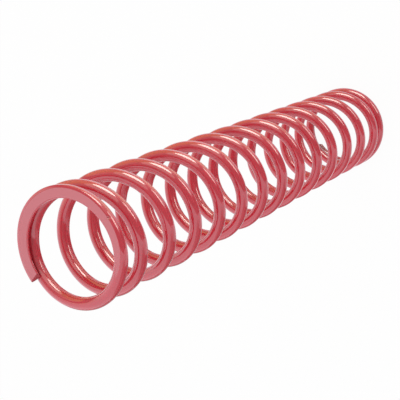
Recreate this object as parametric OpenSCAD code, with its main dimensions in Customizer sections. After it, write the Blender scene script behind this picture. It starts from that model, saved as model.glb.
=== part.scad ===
// Balance spring of a road barrier: an open compression spring of round steel wire,
// coiled right-handed, with both end coils closed up and ground flat so that it stands square.
// The spring stands on its lower end: +Z runs along its axis and z = 0 is the lower ground face.

/* [Coil] */
// Outside diameter of the coil, in mm
outer_d = 55; // [45:0.5:70]
// Diameter of the wire, in mm
wire_d = 5.8; // [4:0.1:7]
// Length of the unloaded spring between its ground faces, in mm
free_length = 312; // [250:1:380]
// Turns of wire from tip to tip
turns = 15; // [12:1:16]
// Share by which the pitch closes up at the upper end, left by the coiling
pitch_ease = 0.09; // [0:0.01:0.2]
// Share of the turns, counted from the lower end, at which the pitch starts to close up
ease_start = 0.4; // [0:0.05:0.8]

/* [Ends] */
// Thickness that the grinding leaves on the wire's tip, in mm
tip_thickness = 2.3; // [1.5:0.1:2.8]
// Gap between the tip and the turn beside it, in mm
tip_gap = 0.2; // [0.1:0.05:0.6]
// Turns from the tip to where the closed end starts to open
closed_turns = 0.65; // [0.5:0.05:0.8]
// Turns over which the closed end opens to the full pitch
opening_turns = 0.85; // [0.6:0.05:1.2]

/* [Finish] */
// Sides of the wire's section
wire_sides = 12; // [8:2:12]
// Sections along each turn of wire
turn_steps = 32; // [16:4:32]

/* [Hidden] */

paint_red = [0.74, 0.16, 0.19];
wire_r = wire_d / 2;
coil_r = outer_d / 2 - wire_r;
turn_length = 2 * PI * coil_r;
steps = turns * turn_steps;

// The wire's centre starts below the lower ground face and ends as far above the upper one.
tip_z = tip_thickness - wire_r;
rise_total = free_length - 2 * tip_z;

// How far a closed end has opened at so many turns from its tip, eased from 0 to 1.
function eased(x) = let (u = min(max(x, 0), 1)) u * u * (3 - 2 * u);
function opened(from_tip) = eased((from_tip - closed_turns) / opening_turns);

// Shares of the closed rise at either end, and of the full pitch, in the rise at turn t.
function lower_share(t) = 1 - opened(t);
function upper_share(t) = 1 - opened(turns - t);
function ease_at(t) = 1 - pitch_ease * max(0, t / turns - ease_start) / (1 - ease_start);
function pitch_share(t) = ease_at(t) * opened(t) * opened(turns - t);

// Sums of those shares, taken at the middle of each step, over a range of steps.
function total(values) = values * [for (v = values) 1];
function middle(i) = (i + 0.5) / turn_steps;
function lower_turns(from, to) = total([for (i = [from:to - 1]) lower_share(middle(i))]) / turn_steps;
function upper_turns(from, to) = total([for (i = [from:to - 1]) upper_share(middle(i))]) / turn_steps;
function pitch_turns(from, to) = total([for (i = [from:to - 1]) pitch_share(middle(i))]) / turn_steps;

// Each end's first turn rises by the wire and the gap, and the whole wire by rise_total.
// The rise of the closed ends and the pitch follow from these three conditions.
first_rise = wire_d + tip_gap;
last_turn = steps - turn_steps;
lower_first = lower_turns(0, turn_steps);
upper_last = upper_turns(last_turn, steps);
lower_slope = pitch_turns(0, turn_steps) / lower_first;
upper_slope = pitch_turns(last_turn, steps) / upper_last;
lower_all = lower_turns(0, steps);
upper_all = upper_turns(0, steps);
closed_rise = first_rise * (lower_all / lower_first + upper_all / upper_last);
pitch_weight = pitch_turns(0, steps) - lower_slope * lower_all - upper_slope * upper_all;
pitch = (rise_total - closed_rise) / pitch_weight;
lower_rise = first_rise / lower_first - pitch * lower_slope;
upper_rise = first_rise / upper_last - pitch * upper_slope;

// Rise of the wire in mm for each turn, and the height of its centre at each step.
function rise_at(t) = lower_rise * lower_share(t) + upper_rise * upper_share(t) + pitch * pitch_share(t);
heights = [for (i = 0, z = tip_z; i <= steps; z = z + rise_at(middle(i)) / turn_steps, i = i + 1) z];

// A section stands square to the wire, which leans by its lead angle as it climbs.
function lead_at(t) = atan2(rise_at(t), turn_length);
function section_point(i, side) =
    let (
        t = i / turn_steps,
        around = 360 * t,
        about = 360 * side / wire_sides,
        out = wire_r * cos(about),
        up = wire_r * sin(about),
        lead = lead_at(t),
        back = -up * sin(lead),
        r = coil_r + out
    )
    [
        r * cos(around) - back * sin(around),
        r * sin(around) + back * cos(around),
        heights[i] + up * cos(lead)
    ];
function corner(i, side) = i * wire_sides + side % wire_sides;

// The wire as it is coiled, with its sheared tips still round.
module coiled_wire() {
    points = [for (i = [0:steps], side = [0:wire_sides - 1]) section_point(i, side)];
    first_tip = [for (side = [0:wire_sides - 1]) corner(0, side)];
    last_tip = [for (side = [wire_sides - 1:-1:0]) corner(steps, side)];
    skin = [
        for (i = [0:steps - 1], side = [0:wire_sides - 1], half = [0:1])
            half == 0
                ? [corner(i, side), corner(i + 1, side), corner(i + 1, side + 1)]
                : [corner(i, side), corner(i + 1, side + 1), corner(i, side + 1)]
    ];
    polyhedron(points, concat([first_tip], skin, [last_tip]), convexity = 4 * turns);
}

// What the grinding wheel takes off beyond a ground face.
module grinding(z) {
    translate([-outer_d, -outer_d, z])
        cube([2 * outer_d, 2 * outer_d, wire_d]);
}

module coil_spring() {
    color(paint_red)
        difference() {
            coiled_wire();
            grinding(-wire_d);
            grinding(free_length);
        }
}

coil_spring();
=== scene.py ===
import math

import bpy
import numpy as np
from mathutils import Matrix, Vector


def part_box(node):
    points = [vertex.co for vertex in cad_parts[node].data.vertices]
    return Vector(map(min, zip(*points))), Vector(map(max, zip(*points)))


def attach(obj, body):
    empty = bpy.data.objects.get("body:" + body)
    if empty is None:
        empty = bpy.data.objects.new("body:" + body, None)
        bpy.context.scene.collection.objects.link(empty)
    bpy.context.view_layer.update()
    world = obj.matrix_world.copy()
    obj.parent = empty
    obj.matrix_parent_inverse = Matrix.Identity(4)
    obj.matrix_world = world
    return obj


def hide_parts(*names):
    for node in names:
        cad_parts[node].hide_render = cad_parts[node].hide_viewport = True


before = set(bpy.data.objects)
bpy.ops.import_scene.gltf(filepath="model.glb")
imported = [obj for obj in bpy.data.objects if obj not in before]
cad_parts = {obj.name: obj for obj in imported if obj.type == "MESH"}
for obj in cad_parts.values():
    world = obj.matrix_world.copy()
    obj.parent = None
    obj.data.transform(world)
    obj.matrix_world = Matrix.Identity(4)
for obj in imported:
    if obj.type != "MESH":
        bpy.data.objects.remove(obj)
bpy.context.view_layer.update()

# The coiled wire
# One length of round spring steel wire, wound right-handed on a mandrel with an open pitch.
# The pitch closes up at both ends, so that each tip lies against the turn beside it.
spring_low, spring_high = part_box("coil_spring")
outer_d = spring_high.x - spring_low.x
free_length = spring_high.z - spring_low.z
wire_r = 0.0058 / 2
coil_r = outer_d / 2 - wire_r
turn_length = 2 * math.pi * coil_r
turns = 15
closed_turns = 0.65
opening_turns = 0.85
tip_gap = 0.0002
tip_thickness = 0.0023
pitch_ease = 0.09
ease_start = 0.4
rise_steps = 512


def eased(x):
    """0 to 1 with a soft start and stop."""
    u = np.clip(x, 0.0, 1.0)
    return u * u * (3 - 2 * u)


def opened(from_tip):
    """How far a closed end has opened at so many turns from its tip."""
    return eased((from_tip - closed_turns) / opening_turns)


def wire_rise():
    """Heights of the wire's centre at rise_steps a turn, and its rise for each turn between them."""
    t = (np.arange(turns * rise_steps) + 0.5) / rise_steps
    lower = 1 - opened(t)
    upper = 1 - opened(turns - t)
    ease = 1 - pitch_ease * np.maximum(0, t / turns - ease_start) / (1 - ease_start)
    full = ease * opened(t) * opened(turns - t)
    tip_z = tip_thickness - wire_r
    end_rise = 2 * wire_r + tip_gap
    # Each end's first turn rises by the wire and the gap, the whole wire by the free length.
    conditions = [
        [lower[:rise_steps].mean(), 0, full[:rise_steps].mean()],
        [0, upper[-rise_steps:].mean(), full[-rise_steps:].mean()],
        [lower.sum() / rise_steps, upper.sum() / rise_steps, full.sum() / rise_steps],
    ]
    totals = [end_rise, end_rise, free_length - 2 * tip_z]
    lower_rise, upper_rise, pitch = np.linalg.solve(conditions, totals)
    rise = lower_rise * lower + upper_rise * upper + pitch * full
    heights = tip_z + np.concatenate([[0], np.cumsum(rise) / rise_steps])
    return heights, rise


heights, rise = wire_rise()
rise_grid = np.arange(turns * rise_steps + 1) / rise_steps
rise_middles = (rise_grid[1:] + rise_grid[:-1]) / 2


def wire_points(t, out, up):
    """Points at turn t, as far out and up from the wire's centre as the arrays say."""
    around = 2 * math.pi * t
    lead = np.arctan2(np.interp(t, rise_middles, rise), turn_length)
    back = -up * np.sin(lead)
    x = (coil_r + out) * np.cos(around) - back * np.sin(around)
    y = (coil_r + out) * np.sin(around) + back * np.cos(around)
    z = np.interp(t, rise_grid, heights) + up * np.cos(lead)
    return np.stack([x, y, z], axis=-1)


# The sheared tips
# The wire is cropped off in a shear after coiling, at a slant that leaves the ground face shorter on
# the inside of the coil. The end face that breaks off behind the blade is rough.
lower_tip = -0.016
upper_tip = turns
shear_back = 0.00098
shear_across = 0.21
shear_down = 0.75
shear_reach = 0.04
rough_height = 0.00006
rough_steps = 9000
rng = np.random.default_rng(7)
rough_waves = rng.uniform(-1, 1, (10, 2)) * rough_steps
rough_phases = rng.uniform(0, 2 * math.pi, 10)


def tip_points(t, tip, out, up):
    """Points at turn t, moved back along the wire near a tip to end on its shear cut."""
    height = np.interp(t, rise_grid, heights) + up
    depth = np.maximum(0, height if tip == lower_tip else free_length - height)
    slant = np.maximum(0, shear_back - shear_across * out - shear_down * depth)
    rough = np.cos(np.outer(out, rough_waves[:, 0]) + np.outer(up, rough_waves[:, 1]) + rough_phases)
    near = max(0, 1 - abs(t - tip) / shear_reach)
    cut = near * (slant + rough_height * (1 + rough.mean(1))) / turn_length
    return wire_points(t + (cut if tip == lower_tip else -cut), out, up)


# The ground ends
# Both ends are ground on a disc grinder, which turns the closed end coils into flat rings that
# thin out to the tips. Slight chamfers break the rings' edges, and one edge was nicked before
# painting. The paint is darkened as painted shade in the nick's hollow and where an end coil lies
# against the turn beside it.
end_turns = 0.95
end_steps = 190
end_sides = 80
open_steps = 1360
open_sides = 40
outer_chamfer_r = 0.0263
inner_chamfer_r = 0.0222
chamfer_slope = math.tan(math.radians(17))
chamfer_angle = math.asin((outer_chamfer_r - coil_r) / wire_r)
flat_steps = 13
edge_steps = 14
edge_end = math.radians(80)
even_from = 0.76
even_over = 0.16
nick_turn = 14.4935
nick_reach = 0.008
nick_steps = 14


def section_angles(t):
    """Angles of an end turn's points about the wire, closer together on its ground side."""
    flat = np.linspace(0, chamfer_angle, flat_steps)
    edge = np.linspace(chamfer_angle, edge_end, edge_steps + 1)[1:]
    back = np.linspace(edge_end, math.pi, end_sides // 2 - flat_steps - edge_steps + 2)[1:]
    half = np.concatenate([flat, edge, back])
    middle = end_sides * 3 // 4 if t < turns / 2 else end_sides // 4
    steps = (np.arange(end_sides) - middle + end_sides // 2) % end_sides - end_sides // 2
    even = 2 * math.pi * steps / end_sides
    gathered = np.sign(steps) * half[abs(steps)]
    evened = eased((min(t, turns - t) - even_from) / even_over)
    return 2 * math.pi * middle / end_sides + gathered + (even - gathered) * evened


points = []
turn_marks = []
tip_marks = []
faces = []


def add_ring(ring, t, tip=0.0):
    """Adds a ring of points and returns their numbers."""
    start = sum(len(r) for r in points)
    points.append(ring)
    turn_marks.append(np.full(len(ring), t))
    tip_marks.append(np.full(len(ring), tip))
    return list(range(start, start + len(ring)))


def add_cap(tip):
    """Adds the rings of an end face, from its edge to its middle."""
    about = section_angles(tip)
    height = np.interp(tip, rise_grid, heights)
    out = wire_r * np.cos(about)
    up = np.clip(wire_r * np.sin(about), -height, free_length - height)
    middle = (up.min() + up.max()) / 2
    shares = (0.93, 0.80, 0.62, 0.42, 0.20)
    return [add_ring(tip_points(tip, tip, out * f, middle + (up - middle) * f), tip, 1.0) for f in shares]


def join_rings(a, b):
    """Skins the gap between two rings of as many points, or of one with twice as many."""
    n = min(len(a), len(b))
    for k in range(n):
        m = (k + 1) % n
        if len(a) == len(b):
            faces.append((a[k], b[k], b[m], a[m]))
        elif len(a) > len(b):
            faces.append((a[2 * k], b[k], a[2 * k + 1]))
            faces.append((a[2 * k + 1], b[k], b[m]))
            faces.append((a[2 * k + 1], b[m], a[2 * m]))
        else:
            faces.append((a[k], b[2 * k], b[2 * k + 1]))
            faces.append((a[k], b[2 * k + 1], a[m]))
            faces.append((a[m], b[2 * k + 1], b[2 * m]))


tip_spread = np.linspace(0, 1, end_steps + 1) ** 1.3
lower_turns = lower_tip + (end_turns - lower_tip) * tip_spread
open_turns = np.linspace(end_turns, turns - end_turns, open_steps + 1)[1:-1]
nick_turns = np.linspace(nick_turn - nick_reach, nick_turn + nick_reach, nick_steps)
upper_turns = np.sort(np.concatenate([upper_tip - end_turns * tip_spread, nick_turns]))
open_angles = 2 * math.pi * np.arange(open_sides) / open_sides

rings = add_cap(lower_tip)[::-1]
for t in lower_turns:
    about = section_angles(t)
    rings.append(add_ring(tip_points(t, lower_tip, wire_r * np.cos(about), wire_r * np.sin(about)), t))
for t in open_turns:
    rings.append(add_ring(wire_points(t, wire_r * np.cos(open_angles), wire_r * np.sin(open_angles)), t))
for t in upper_turns:
    about = section_angles(t)
    rings.append(add_ring(tip_points(t, upper_tip, wire_r * np.cos(about), wire_r * np.sin(about)), t))
rings.extend(add_cap(upper_tip))
for before, after in zip(rings, rings[1:]):
    join_rings(before, after)
faces.append(tuple(rings[0]))
faces.append(tuple(reversed(rings[-1])))

# The grinding takes off what lies beyond each face, and slight chamfers break its edges.
edge_round = 0.00008


def softly(x):
    """x where it is above 0, else 0, with a rounded corner between."""
    return (x + np.sqrt(x ** 2 + edge_round ** 2)) / 2


wire = np.concatenate(points)
turn = np.concatenate(turn_marks)
centre = np.interp(turn, rise_grid, heights)
up = wire[:, 2] - centre
radius = np.hypot(wire[:, 0], wire[:, 1])
past_chamfer = np.maximum(radius - outer_chamfer_r, inner_chamfer_r - radius)
face = chamfer_slope * softly(past_chamfer)
beyond = np.maximum(face - wire[:, 2], wire[:, 2] - free_length + face)
wire[:, 2] = face + softly(wire[:, 2] - face)
wire[:, 2] = free_length - face - softly(free_length - face - wire[:, 2])

nick_out = 0.00205
nick_size = 0.00055
nick_depth = 0.0006
nick_inward = 0.8
nick_downward = 0.6
nick_way = np.array([math.cos(2 * math.pi * nick_turn), math.sin(2 * math.pi * nick_turn), 0])
nick_at = nick_way * (coil_r + nick_out) + np.array([0, 0, free_length])
nick_mark = np.exp(-((wire - nick_at) ** 2).sum(1) / nick_size ** 2)
nick_push = nick_depth * (nick_inward * nick_way + np.array([0, 0, nick_downward]))
wire = wire - np.outer(nick_mark, nick_push)

bare_turns = 0.11
# How close each point lies to the turn above or below it, where the paint is darkened as painted shade.
gap_reach = 0.0007
above = np.interp(turn + 1, rise_grid, heights, right=2 * free_length) - centre
below = centre - np.interp(turn - 1, rise_grid, heights, left=-free_length)
room = np.maximum(0, np.where(up > 0, above, below) - 2 * abs(up))
marks = {
    "ground": eased(beyond / edge_round) * eased(-past_chamfer / edge_round) * (1 - nick_mark),
    "edge": np.exp(-(past_chamfer / edge_round) ** 2) * eased(beyond / edge_round),
    "tip": np.concatenate(tip_marks),
    "nick": nick_mark,
    "bare": 1 - eased((turn - lower_tip) / bare_turns),
    "gap": np.exp(-room / gap_reach),
}
coil_mesh = bpy.data.meshes.new("painted_coil")
coil_mesh.from_pydata(wire.tolist(), [], faces)
for name, values in marks.items():
    coil_mesh.attributes.new(name, "FLOAT", "POINT").data.foreach_set("value", values.astype(np.float32))
coil_mesh.shade_smooth()
coil_mesh.validate()
coil = bpy.data.objects.new("painted_coil", coil_mesh)
bpy.context.scene.collection.objects.link(coil)
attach(coil, "root")
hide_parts("coil_spring")


# The paint
# Red gloss enamel, sprayed all over after grinding. It lies smooth on the drawn wire with a trace
# of orange peel, duller on the ground faces, whose paler colour is partly thinner paint and partly
# a painted sheen, and worn through at the lower tip. The nick and the gap between touching turns
# are darkened as painted shade.
class Socket:
    """A shader socket. Arithmetic on it adds Math nodes to its tree."""

    def __init__(self, tree, socket=None):
        self.tree = tree
        self.socket = socket

    def node(self, kind, settings=None, inputs=None, output=0):
        """Adds a node: its settings first, then its sockets' values or links."""
        made = self.tree.nodes.new(kind)
        for name, value in (settings or {}).items():
            setattr(made, name, value)
        for name, value in (inputs or {}).items():
            if isinstance(value, Socket):
                self.tree.links.new(value.socket, made.inputs[name])
            else:
                made.inputs[name].default_value = value
        return Socket(self.tree, made.outputs[output] if made.outputs else None)

    def maths(self, operation, first, second):
        """Adds a Math node on two sockets or numbers."""
        return self.node("ShaderNodeMath", {"operation": operation}, {0: first, 1: second})

    def __add__(self, other):
        return self.maths("ADD", self, other)

    def __sub__(self, other):
        return self.maths("SUBTRACT", self, other)

    def __rsub__(self, other):
        return self.maths("SUBTRACT", other, self)

    def __mul__(self, other):
        return self.maths("MULTIPLY", self, other)

    __radd__ = __add__
    __rmul__ = __mul__

    def ramp(self, low, high):
        """0 below low, 1 above high, and soft between them."""
        settings = {"interpolation_type": "SMOOTHSTEP"}
        return self.node("ShaderNodeMapRange", settings, {0: self, 1: low, 2: high})

    def mix(self, first, second):
        """The first colour where this is 0, the second where it is 1."""
        settings = {"data_type": "RGBA"}
        return self.node("ShaderNodeMix", settings, {0: self, 6: first, 7: second}, output=2)


def new_material(name):
    """A material, and an empty socket of its tree to add nodes with."""
    material = bpy.data.materials.new(name)
    material.use_nodes = True
    material.node_tree.nodes.clear()
    return material, Socket(material.node_tree)


paint_red = (0.58, 0.028, 0.049, 1)
paint_deep = (0.54, 0.024, 0.043, 1)
# The ground faces' paler colour: partly thinner paint, partly a painted sheen.
paint_ground_and_sheen = (0.60, 0.148, 0.174, 1)
# Thin paint on the ring edges, and painted shade in the nick's hollow.
paint_thin_and_shade = (0.30, 0.022, 0.026, 1)
paint_rough = (0.38, 0.014, 0.024, 1)
bare_steel = (0.27, 0.13, 0.11, 1)
# Painted shade in the narrow gap between touching turns.
gap_painted_shade = (0.05, 0.014, 0.014, 1)
blotch_scale = 60
peel_scale = 750
peel_height = 0.0000004
wave_scale = 130
wave_height = 0.000003
grinding_stretch = (3200, 90, 0)
grinding_height = 0.000003
streak_stretch = (2600, 160, 2600)
edge_thin = 0.4
blotch_thin = 0.4
# How far the nick's hollow is darkened, as painted shade.
nick_painted_shade = 0.7
enamel_roughness = 0.07
blotch_roughness = 0.04
ground_roughness = 0.45
tip_roughness = 0.30
worn_roughness = 0.10
ground_coat_loss = 0.6
tip_coat_loss = 0.9
worn_coat_loss = 0.3
gap_coat_loss = 0.6

red_enamel, paint = new_material("red_enamel")


def mark(name):
    """A mark that the mesh carries, from 0 to 1."""
    return paint.node("ShaderNodeAttribute", {"attribute_name": name}, output=2)


def noise(place, scale, detail):
    """Soft random patches, from 0 to 1."""
    return paint.node("ShaderNodeTexNoise", None, {"Vector": place, "Scale": scale, "Detail": detail})


def stretched(place, stretch):
    """Places scaled by a factor along each axis, which draws a pattern out into streaks."""
    return paint.node("ShaderNodeVectorMath", {"operation": "MULTIPLY"}, {0: place, 1: stretch})


place = paint.node("ShaderNodeTexCoord", output=3)
ground = mark("ground")
tip = mark("tip")
nick = mark("nick")
gap = mark("gap")
blotch = noise(place, blotch_scale, 3)
peel = noise(place, peel_scale, 2)
wave = noise(place, wave_scale, 1)
grinding = noise(stretched(place, grinding_stretch), 1, 2)
streak = noise(stretched(place, streak_stretch), 1, 2)
thin = mark("edge") * (edge_thin + blotch.ramp(0.45, 0.75) * blotch_thin) * (1 - tip)
worn = mark("bare") * streak.ramp(0.25, 0.6)

colour = blotch.ramp(0.3, 0.7).mix(paint_red, paint_deep)
# The ground faces take a paler colour that is partly a painted sheen.
colour = ground.mix(colour, paint_ground_and_sheen)
# Thin paint darkens the ring edges, and painted shade darkens the nick's hollow.
colour = (thin + nick * nick_painted_shade).mix(colour, paint_thin_and_shade)
colour = tip.mix(colour, paint_rough)
colour = worn.mix(colour, bare_steel)
# Painted shade where an end coil lies against the turn beside it.
colour = gap.mix(colour, gap_painted_shade)
roughness = enamel_roughness + blotch * blotch_roughness + ground * ground_roughness
roughness = roughness + tip * tip_roughness + worn * worn_roughness
coat = 1 - ground * ground_coat_loss - tip * tip_coat_loss - worn * worn_coat_loss - gap * gap_coat_loss
height = peel * peel_height + wave * wave_height + grinding * ground * grinding_height
bump = paint.node("ShaderNodeBump", None, {"Strength": 1, "Distance": 1, "Height": height})
enamel = paint.node(
    "ShaderNodeBsdfPrincipled",
    None,
    {
        "Base Color": colour,
        "Roughness": roughness,
        "IOR": 1.5,
        "Specular IOR Level": 0.5,
        "Coat Weight": coat,
        "Coat Roughness": 0.045,
        "Coat IOR": 1.6,
        "Normal": bump,
    },
)
paint.node("ShaderNodeOutputMaterial", None, {"Surface": enamel})
coil_mesh.materials.append(red_enamel)

# The floor
# A plain white sheet that the spring stands on. It shows white to the camera and a little cooler in
# the gloss of the paint, and keeps a part of its own light and shade, so that the shadow stays.
floor_r = 4.0
floor_sides = 128
floor_white = (0.90, 0.90, 0.90, 1)
floor_glow = 0.95
floor_gloss = 0.85
floor_cool = (0.95, 0.95, 1, 1)

floor_mesh = bpy.data.meshes.new("floor")
rim = [2 * math.pi * k / floor_sides for k in range(floor_sides)]
floor_points = [(floor_r * math.cos(a), floor_r * math.sin(a), 0) for a in rim]
floor_mesh.from_pydata(floor_points, [], [tuple(range(floor_sides))])
floor = bpy.data.objects.new("floor", floor_mesh)
bpy.context.scene.collection.objects.link(floor)

white_sheet, sheet = new_material("white_sheet")
camera_ray = sheet.node("ShaderNodeLightPath", output="Is Camera Ray")
glossy_ray = sheet.node("ShaderNodeLightPath", output="Is Glossy Ray")
passed_ray = sheet.node("ShaderNodeLightPath", output="Is Transmission Ray")
mirrored = (glossy_ray + passed_ray) * floor_gloss
paper = sheet.node("ShaderNodeBsdfDiffuse", None, {"Color": floor_white})
glow = sheet.node("ShaderNodeEmission", None, {"Color": (1, 1, 1, 1), "Strength": 1})
cool = sheet.node("ShaderNodeEmission", None, {"Color": floor_cool, "Strength": 1})
shown = sheet.node("ShaderNodeMixShader", None, {0: mirrored, 1: paper, 2: cool})
shown = sheet.node("ShaderNodeMixShader", None, {0: camera_ray * floor_glow, 1: shown, 2: glow})
sheet.node("ShaderNodeOutputMaterial", None, {"Surface": shown})
floor_mesh.materials.append(white_sheet)

# The cards
# Matt card laid on the sheet around the picture, out of sight of the camera. The gloss of the paint
# mirrors it: dark and grey card as the dark bands beside and under the coils, where the dark card
# stands in as painted shade for the sheet's shade by the spring, and cream and warm card along
# their tops.
card_z = 0.002
card_dark = (0.28, 0.27, 0.27, 1)
card_grey = (0.45, 0.45, 0.45, 1)
card_warm = (0.90, 0.78, 0.50, 1)
card_cream = (0.95, 0.90, 0.70, 1)
cards = {
    # The dark cards are painted shade of the sheet beside and under the spring, seen only in the gloss.
    "card_below": (card_dark, [(-0.02, 0.12), (0.16, 0.10), (2.0, 2.7), (-0.93, 2.9)]),
    "card_beside": (card_dark, [(-0.10, -0.02), (-0.06, 0.06), (-1.30, 1.45), (-2.1, 0.88)]),
    "card_right": (card_grey, [(0.30, 0.04), (2.8, 0.3), (2.2, 2.8), (0.16, 0.10)]),
    "card_near": (card_cream, [(-0.06, -0.03), (-1.0, -0.20), (-0.42, -0.5), (-0.02, -0.10)]),
    "card_behind": (card_warm, [(-0.42, -0.5), (-2.0, -2.4), (1.9, -2.6), (0.25, -0.45)]),
}
for name, (card_colour, corners) in cards.items():
    matt_card, board = new_material(name)
    matt = board.node("ShaderNodeBsdfDiffuse", None, {"Color": card_colour})
    board.node("ShaderNodeOutputMaterial", None, {"Surface": matt})
    card_mesh = bpy.data.meshes.new(name)
    card_mesh.from_pydata([(x, y, card_z) for x, y in corners], [], [(0, 1, 2, 3)])
    card_mesh.materials.append(matt_card)
    card = bpy.data.objects.new(name, card_mesh)
    card.visible_camera = False
    card.visible_diffuse = False
    card.visible_shadow = False
    bpy.context.scene.collection.objects.link(card)

# The light
# A light tent with one warm wall. A softbox, a long low lamp and a glow on the sheet make the
# highlights, and two large fills light the colour alone. The tent's open door and a fold in its
# cloth show as dark bands in the gloss.
spring_middle = Vector((0, 0, free_length / 2))
lamp_colour = (1, 0.97, 0.87)
glow_place = (-0.34, -0.30, 0.004)
glow_aim = (-0.34, -0.30, 1)


def add_lamp(name, place, size, radiance, aim=spring_middle, only_gloss=False, only_diffuse=False):
    """An oval area lamp that faces the spring, or another aim, as bright as its face shows."""
    data = bpy.data.lights.new(name, "AREA")
    data.shape = "ELLIPSE"
    data.size, data.size_y = size
    data.color = lamp_colour
    data.energy = radiance * math.pi * math.pi / 4 * size[0] * size[1]
    lamp = bpy.data.objects.new(name, data)
    lamp.location = place
    lamp.rotation_mode = "QUATERNION"
    lamp.rotation_quaternion = (Vector(aim) - Vector(place)).to_track_quat("-Z", "Y")
    lamp.visible_camera = False
    lamp.visible_diffuse = not only_gloss
    lamp.visible_glossy = not only_diffuse
    bpy.context.scene.collection.objects.link(lamp)


add_lamp("softbox", (-0.53, -0.46, 0.34), (0.48, 0.50), 1.9)
add_lamp("softbox_core", (-0.53, -0.46, 0.35), (0.44, 0.41), 5.4, only_gloss=True)
add_lamp("softbox_skirt", (-0.46, -0.40, 0.62), (0.64, 0.95), 0.9, only_gloss=True)
add_lamp("low_lamp", (-0.93, 0.03, 0.14), (0.52, 0.34), 4.4, only_gloss=True)
add_lamp("low_lamp_skirt", (-0.93, 0.06, 0.12), (0.60, 0.34), 0.4, only_gloss=True)
add_lamp("sheet_glow", glow_place, (0.58, 0.58), 0.5, aim=glow_aim, only_gloss=True)
add_lamp("fill_left", (-0.32, -0.71, 1.06), (1.0, 1.0), 0.5, only_diffuse=True)
add_lamp("fill_right", (-0.63, 0.74, 0.87), (1.0, 1.0), 0.65, only_diffuse=True)

tent_up = (-0.7185, -0.6795, 0.1476)
tent_front = (-0.5335, 0.1233, 0.8368)
tent_warm = (-0.14, -0.98, 0.15)
tent_shade = (0.03, 0.998, 0.06)
tent_door = (-0.7986, -0.6018, 0)
tent_door_end = (0.2079, 0.9781, 0)
tent_fold = (0.9613, 0.2756, 0)
tent_fold_end = (-0.8090, -0.5878, 0)
white_cloth = (1, 1, 1, 1)
cream_cloth = (1, 0.975, 0.88, 1)
warm_cloth = (1, 0.85, 0.42, 1)
cool_cloth = (0.94, 0.94, 1, 1)
side_light = 1.2
warm_light = 1.15
front_light = 0.5
under_light = 1.27
shade_light = 0.5
door_light = 0.35
fold_light = 0.4
backdrop_white = 1.0
tent = bpy.data.worlds.new("light_tent")
tent.use_nodes = True
tent.node_tree.nodes.clear()
air = Socket(tent.node_tree)
way = air.node("ShaderNodeTexCoord", output=0)


def towards(direction):
    """How far a ray that leaves the spring runs in a direction, from -1 to 1."""
    return air.node("ShaderNodeVectorMath", {"operation": "DOT_PRODUCT"}, {0: way, 1: direction}, output=1)


def cloth(colour, strength):
    """A plain cloth of the tent, as bright as it shows."""
    return air.node("ShaderNodeBackground", None, {"Color": colour, "Strength": strength})


def hung(mask, first, second):
    """The first cloth of the tent where the mask is 0, the second where it is 1."""
    return air.node("ShaderNodeMixShader", None, {0: mask, 1: first, 2: second})


sides = cloth(cream_cloth, side_light)
sides = hung(towards(tent_warm).ramp(0.75, 0.95), sides, cloth(warm_cloth, warm_light))
sides = hung(towards(tent_front).ramp(0.2, 0.8), sides, cloth(white_cloth, front_light))
under = cloth(cool_cloth, under_light)
under = hung(towards(tent_shade).ramp(0.80, 0.97), under, cloth(white_cloth, shade_light))
inside = hung(towards(tent_up).ramp(-0.02, 0.02), under, sides)
door = towards(tent_door).ramp(-0.015, 0.015) * towards(tent_door_end).ramp(-0.05, 0.15)
inside = hung(door, inside, cloth(white_cloth, door_light))
fold = towards(tent_fold).ramp(-0.05, 0.05) * towards(tent_fold_end).ramp(-0.05, 0.05)
inside = hung(fold, inside, cloth(white_cloth, fold_light))
camera_ray = air.node("ShaderNodeLightPath", output="Is Camera Ray")
passed_ray = air.node("ShaderNodeLightPath", output="Is Transmission Ray")
shown = hung(camera_ray + passed_ray, inside, cloth(white_cloth, backdrop_white))
air.node("ShaderNodeOutputWorld", None, {"Surface": shown})
bpy.context.scene.world = tent

# The camera
# It looks steeply down past the upper end and is rolled, so that the standing spring lies
# across the picture with its upper ground face to the lower left.
camera_place = (-0.25002, 0.06179, 0.59976)
camera_turn = (-15.228, 29.861, 138.318)
film_width = 36
lens_length = 83.4
camera_data = bpy.data.cameras.new("camera")
camera_data.sensor_width = film_width
camera_data.lens = lens_length
camera = bpy.data.objects.new("camera", camera_data)
camera.location = camera_place
camera.rotation_euler = [math.radians(a) for a in camera_turn]
bpy.context.scene.collection.objects.link(camera)
bpy.context.scene.camera = camera
bpy.context.scene.view_settings.view_transform = "Standard"
